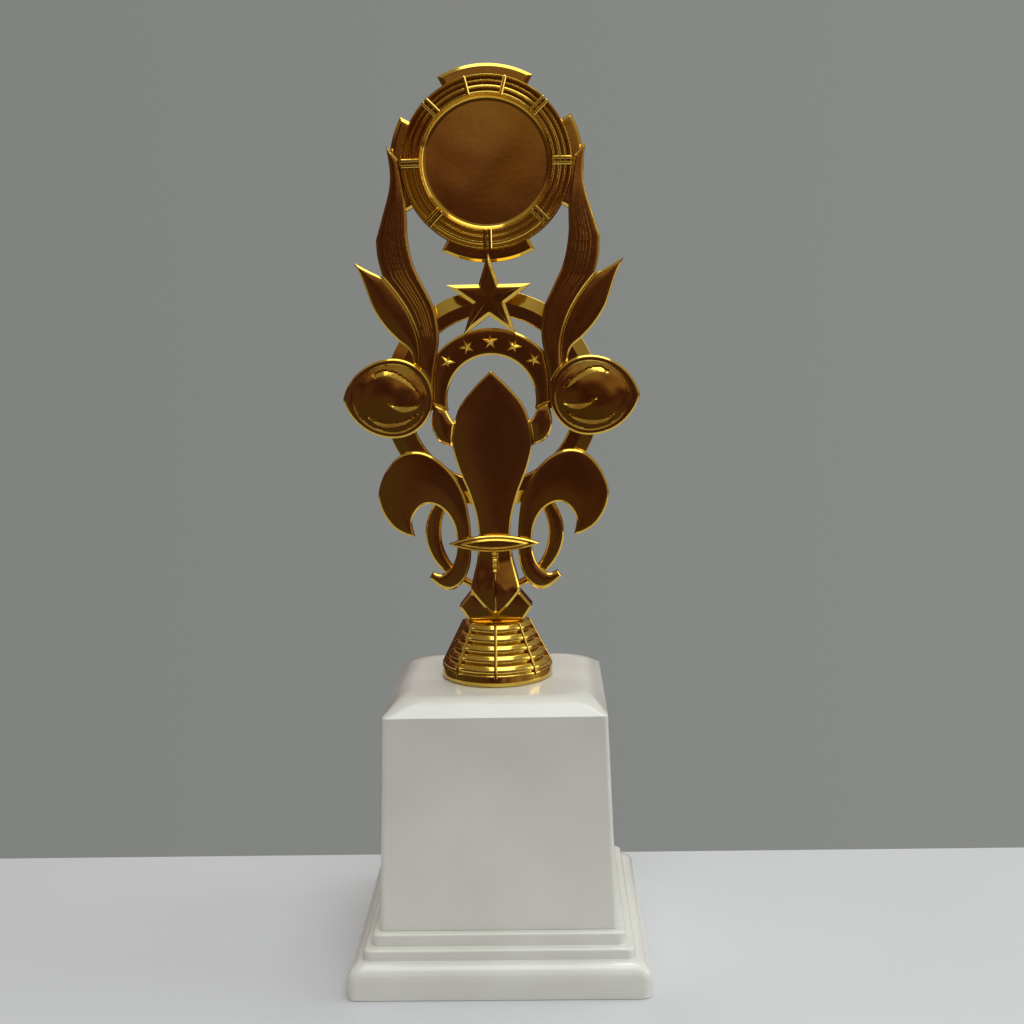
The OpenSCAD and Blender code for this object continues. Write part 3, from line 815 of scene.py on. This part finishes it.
# ---------------------------------------------------------------------------------------------
# Rings: the oval lower ring and the large round ring behind petals and buds, in the rear layer
# of the same moulding. The large one has a flat inner band and a bevel that falls away outside.

gilt_plate("lower_ring", crown=0.4, reach=2)
ring_low, ring_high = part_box("big_ring")
ring_r, ring_back = ring_high.x / MM, ring_high.y / MM
ring_centre = (0, 0, (ring_low.z + ring_high.z) / 2 / MM)
ring_bend, ring_bore = ring_r - 5, ring_r - 10
ring_profile = rounded_path([
    (ring_bend, -ring_back, 0), (ring_r, -ring_back, 0.3), (ring_r, -2, 0.4), (ring_bend, 0, 0.25),
    (ring_bore + 0.5, 0, 0.2), (ring_bore, -0.5, 0.2), (ring_bore, -ring_back, 0.3),
    (ring_bend, -ring_back, 0),
], guard=0.08)
big_ring = lathe(ring_profile, ring_centre, axis="Y", segments=192, closed=False)
install(finish_mesh(big_ring, "big_ring_moulding", gilt), "gilded_plastic", "big_ring")


# ---------------------------------------------------------------------------------------------
# Arch: a horseshoe plate over the centre petal with five small raised stars, and a rounded knob
# at each foot of it. The stars are moulded on, each arm a pair of bright little facets.

gilt_plate("star_arch", crown=0.2, reach=3)
for side in ("left", "right"):
    gilt_plate(side + "_knob", width=0.6, drop=0.4, crown=0.7, reach=1.3)


notch_share = math.cos(math.radians(72)) / math.cos(math.radians(36))


def star_mesh(centre, radius, front, middle, facet_edge, foot, back, chamfer):
    """A five-pointed star whose heights are given over front: facets that rise from facet_edge to
    the middle, inside a chamfer that falls to foot."""
    tip, notch = radius, radius * notch_share
    points = [(centre[0] + r * math.sin(math.radians(36 * i)), centre[1] + r * math.cos(math.radians(36 * i)))
              for i, r in enumerate((tip, notch) * 5)]

    def face(x, z, away):
        angle = np.degrees(np.arctan2(x - centre[0], z - centre[1])) % 360
        near = np.abs((angle + 36) % 72 - 36)
        far_r = np.hypot(x - centre[0], z - centre[1])
        px, py = far_r * np.cos(np.radians(near)), far_r * np.sin(np.radians(near))
        beta = py / (notch * math.sin(math.radians(36)))
        alpha = (px - beta * notch * math.cos(math.radians(36))) / tip
        facet = middle + (facet_edge - middle) * np.clip(alpha + beta, 0, 1)
        return front - facet + (facet_edge - foot) * soft_step(away, 0, chamfer, 0.05)

    spokes = [[centre, p] for p in points]
    step = min(0.7, radius / 10)
    return relief([points[::-1]], back, face, [chamfer * k for k in (0.5, 0.9, 1.0, 1.1)],
                  grid=step * 1.4, step=step, lines=spokes, back_edge=0.1)


small_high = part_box("arch_stars")[1]
small_r, small_apart = 3.2, 24
small_front = small_high.y / MM
small_star = star_mesh((0, small_high.z / MM - small_r), small_r, front=small_front, middle=1.2,
                       facet_edge=0.45, foot=0.1, back=small_front + 0.4, chamfer=0.3)
small_star = finish_mesh(small_star, "small_star", gilt, crease=14)
no_base = place(bpy.data.objects.new("arch_stars_moulding", bpy.data.meshes.new("arch_stars_moulding")))
arch_stars = spread(no_base, small_star, 5, -2 * small_apart, small_apart, (0, 1, 0),
                    Vector(ring_centre) * MM, gilt)
install(arch_stars, "gilded_plastic", "arch_stars")


# ---------------------------------------------------------------------------------------------
# Star: the large five-pointed star in front of ring and arch, moulded and metallised with them.
# Each arm is two shallow facets inside a bright chamfer.

star_low, star_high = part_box("star")
big_star_r = (star_high.x - star_low.x) / MM / 2 / math.cos(math.radians(18))
star = star_mesh((0.0, star_high.z / MM - big_star_r), big_star_r, front=0, middle=-star_low.y / MM,
                 facet_edge=7.4, foot=6.4, back=0.1, chamfer=1.25)
install(finish_mesh(star, "star_moulding", gilt, crease=6), "gilded_plastic", "star")


# ---------------------------------------------------------------------------------------------
# Wings and leaves: tall flame-like wings with five fine grooves that fade out towards their ends,
# and a plain pointed leaf outside each, set a little lower. Metallised plates with narrow chamfers.

def spans(outline, levels):
    """The least and greatest x of a closed outline at each level."""
    a = np.array(outline)
    b = np.roll(a, -1, 0)
    found = []
    for z in levels:
        cut = (a[:, 1] > z) != (b[:, 1] > z)
        x = a[cut, 0] + (z - a[cut, 1]) / (b[cut, 1] - a[cut, 1]) * (b[cut, 0] - a[cut, 0])
        found.append((x.min(), x.max()) if len(x) else (np.nan, np.nan))
    return np.array(found)


wing_grooves, groove_half, groove_deep = (0.28, 0.42, 0.52, 0.61, 0.74), 0.4, 0.11
plain_foot, plain_tip = 14, 18
for side in ("left", "right"):
    node = side + "_wing"
    wing_low, wing_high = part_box(node)
    outline = face_outlines(node)
    levels = np.arange(wing_low.z / MM + 0.5, wing_high.z / MM - 0.4, 0.5)
    limits = spans(max(outline, key=len), levels)
    groove_low, groove_high = wing_low.z / MM + plain_foot, wing_high.z / MM - plain_tip

    def wing_face(x, z, away, limits=limits, levels=levels, front=wing_low.y / MM):
        left, right = np.interp(z, levels, limits[:, 0]), np.interp(z, levels, limits[:, 1])
        across = np.clip((x - left) / np.maximum(right - left, 0.5), 0, 1)
        fade = np.clip((z - groove_low) / 12, 0, 1) * np.clip((groove_high - z) / 45, 0, 1) ** 0.7
        apart = np.min([np.abs(across - share) for share in wing_grooves], 0) * (right - left)
        groove = np.clip(1 - apart / groove_half, 0, 1) * np.clip((away - 0.8) / 0.6, 0, 1)
        edge = chamfer_drop * soft_step(away, 0, chamfer_width)
        return front + edge + groove_deep * fade * groove + 0.15 * np.exp(-away / 3)

    grooved = [(left, right, z) for (left, right), z in zip(limits, levels) if groove_low < z < groove_high]
    guides = [[(left + (right - left) * share + shift, z) for left, right, z in grooved[::2]]
              for share in wing_grooves for shift in (-groove_half, 0, groove_half)]
    wing = relief(outline, wing_high.y / MM, wing_face, rows((0, chamfer_width)), grid=0.6, lines=guides)
    install(finish_mesh(wing, node + "_moulding", gilt, crease=24), "gilded_plastic", node)
    gilt_plate(side + "_leaf", crown=0.35, reach=3)


# ---------------------------------------------------------------------------------------------
# Buds: pointed ovals beside the large ring. Each has a chamfered rim, a sunk channel and a low
# dome with three crescent grooves, moulded in and metallised with the rest.

def crescent(points, widths, count=33):
    """A curve through three points as samples (x, z, half width)."""
    a, b, c = map(Vector, points)
    control = 2 * b - (a + c) / 2
    t = np.linspace(0, 1, count)
    curve = [a * (1 - s) ** 2 + control * 2 * s * (1 - s) + c * s ** 2 for s in t]
    return [(p.x, p.y, np.interp(s, (0, 0.15, 0.5, 0.85, 1), widths)) for p, s in zip(curve, t)]


bud_low, bud_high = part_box("right_bud")
bud_z = (bud_low.z + bud_high.z) / 2 / MM
bud_x, bud_radius = 38.5, (bud_high.z - bud_low.z) / MM / 2
bud_rim_y = bud_low.y / MM + 3.2
dome_r, dome_stretch, dome_h = bud_radius - 2.4, 1.18, 0.9
channel_in, channel_slope, channel_deep = 1.5, 0.5, 0.5
groove_sunk, groove_wall = 0.8, 1.15
grooves = [
    crescent([(45.5, bud_z + 8.9), (38, bud_z + 9.2), (28, bud_z + 1.9)], (0.7, 1.0, 1.1, 0.8, 0.1)),
    crescent([(41, bud_z - 1.3), (35, bud_z - 4.3), (29, bud_z - 3.1)], (0.1, 0.5, 1.1, 0.8, 0.5)),
    crescent([(48, bud_z - 7.4), (39.5, bud_z - 10.8), (29.5, bud_z - 6.6)], (0.1, 0.6, 1.0, 0.6, 0.1)),
]


def groove_depth(x, z, groove):
    """How far a point lies into a groove: 0 at its lower edge, 1 at its upper one, and 0 outside."""
    line = np.array(groove)
    run = np.diff(line[:, :2], axis=0)
    dx, dz = x[:, None] - line[:-1, 0], z[:, None] - line[:-1, 1]
    t = np.clip((dx * run[:, 0] + dz * run[:, 1]) / (run ** 2).sum(1), 0, 1)
    dx, dz = dx - t * run[:, 0], dz - t * run[:, 1]
    away = np.hypot(dx, dz)
    nearest = (np.arange(len(x)), away.argmin(1))
    half = (line[:-1, 2] + t * np.diff(line[:, 2]))[nearest]
    above = np.sign(dx * run[:, 1] - dz * run[:, 0])[nearest] * away[nearest] / half
    return np.clip(np.minimum((above + 1) / 2, (groove_wall - above) / (groove_wall - 1)), 0, 1)


for side, sign in (("left", -1), ("right", 1)):
    node = side + "_bud"

    def bud_face(x, z, away, sign=sign):
        x = sign * x
        face = bud_rim_y + chamfer_drop * soft_step(away, 0, chamfer_width)
        outwards = np.where(x > bud_x, (x - bud_x) / dome_stretch, x - bud_x)
        from_middle = np.hypot(outwards, z - bud_z) / dome_r
        swell = np.clip(1 - from_middle ** 2, 0, 1)
        dome = dome_h * (np.sqrt(swell) + swell)
        inner_wall = soft_step(from_middle, 0.95, 0.1, 0.02)
        channel = channel_deep * (1 - soft_step(away, channel_in, channel_slope)) * inner_wall
        cut = sum(groove_depth(x, z, groove) for groove in grooves)
        return face + channel - dome + groove_sunk * cut

    guides = [[(sign * x, z) for x, z, half in groove] for groove in grooves]
    for groove in grooves:
        for lift in (-1, 1, groove_wall):
            line = []
            for (x0, z0, _), (x1, z1, half) in zip(groove, groove[1:]):
                along = Vector((x1 - x0, z1 - z0)).normalized()
                line.append((sign * (x1 - lift * along.y * half), z1 + lift * along.x * half))
            guides.append(line)
    dome_edge = []
    for angle in np.radians(np.arange(0, 361, 6)):
        out = dome_r * math.cos(angle) * (dome_stretch if math.cos(angle) > 0 else 1)
        dome_edge.append((sign * (bud_x + out), bud_z + dome_r * math.sin(angle)))
    guides.append(dome_edge)
    bud_outline = max(face_outlines(node, -4.3), key=len)
    bud = relief([bud_outline], bud_high.y / MM, bud_face,
                 rows((0, chamfer_width), (channel_in, channel_slope)), grid=0.55, lines=guides)
    install(finish_mesh(bud, node + "_moulding", gilt, crease=30), "gilded_plastic", node)


# ---------------------------------------------------------------------------------------------
# Disc holder: a back plate with four chamfered tabs, a flat round floor for a stick-on disc, and
# a ridged rim of four beads, tied by seven pairs of small ribs and two single ones at the top.
# All of the same gilded moulding.

gilt_plate("holder_back", width=1.2, drop=0.8, crown=0.0)
rim_low, rim_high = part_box("holder_rim")
holder = (0, 0, (rim_low.z + rim_high.z) / 2 / MM)
rim_r, rim_base, bore_r = rim_high.x / MM, -rim_high.y / MM, 25.2
floor_h = -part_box("disc_seat")[0].y / MM
seat_r = rim_r - 0.1
seat_profile = [(0, 0), (seat_r - 0.2, 0), (seat_r, 0.2), (seat_r, rim_base), (bore_r, rim_base),
                (bore_r, floor_h), *[(r, floor_h) for r in range(24, -1, -3)]]
seat = lathe(seat_profile, holder, axis="Y", segments=160, closed=False)
install(finish_mesh(seat, "disc_seat_moulding", gilt), "gilded_plastic", "disc_seat")

cove_r = 2.0
cove = [(bore_r - cove_r * (1 - math.sin(a)), floor_h + cove_r * (1 - math.cos(a)) + 0.1, 0)
        for a in np.linspace(0, math.pi / 2, 9)]
bead_tops = ((25.6, 5.9), (27.8, 5.6), (30.2, 5.2), (32.5, 4.6))
rim_seam = (rim_r - 3, rim_base, 0)
rim_corners = [rim_seam, (bore_r - cove_r, rim_base, 0), *cove]
for r, h in bead_tops:
    if r > bead_tops[0][0]:
        rim_corners.append((r - 0.55, h - 1.3, 0.1))
    rim_corners += [(r - 0.2, h, 0.15), (r + 0.15, h, 0.15), (r + 0.5, h - 1.1, 0.1)]
rim_corners += [(rim_r - 0.05, 3.2, 0.2), (rim_r, rim_base, 0.1), rim_seam]
rim_path = rounded_path(rim_corners, segments=4, guard=0.05)
rim = finish_mesh(lathe(rim_path, holder, axis="Y", segments=192, closed=False),
                  "holder_rim_moulding", gilt, crease=40)


def rim_rib(shift, half=0.75, root=2.5):
    """A rib across the rim, pointing along X from the holder's middle, with a half-round crest."""
    sections = []
    for r, top in ((25.15, 5.9), (25.5, 6.35), (32.5, 5.5), (32.9, 5.0)):
        crest = [(half * math.cos(a), top - half + half * math.sin(a)) for a in np.linspace(math.pi, 0, 7)]
        section = [(-half, root), *crest, (half, root)]
        sections.append([(r, -h, holder[2] + shift + w) for w, h in section])
    return skin_rings(sections, ends=True)


pair = rim_rib(1.0)
other = bpy.data.meshes.new("rib")
rim_rib(-1.0).to_mesh(other)
pair.from_mesh(other)
rib_pair = finish_mesh(pair, "rib_pair", gilt, crease=25)
one_rib = finish_mesh(rim_rib(0), "one_rib", gilt, crease=25)
pivot = Vector(holder) * MM
rim = spread(rim, rib_pair, 7, 135, 45, (0, -1, 0), pivot, gilt)
rim = spread(rim, one_rib, 2, -104, 28, (0, 1, 0), pivot, gilt)
install(rim, "gilded_plastic", "holder_rim")
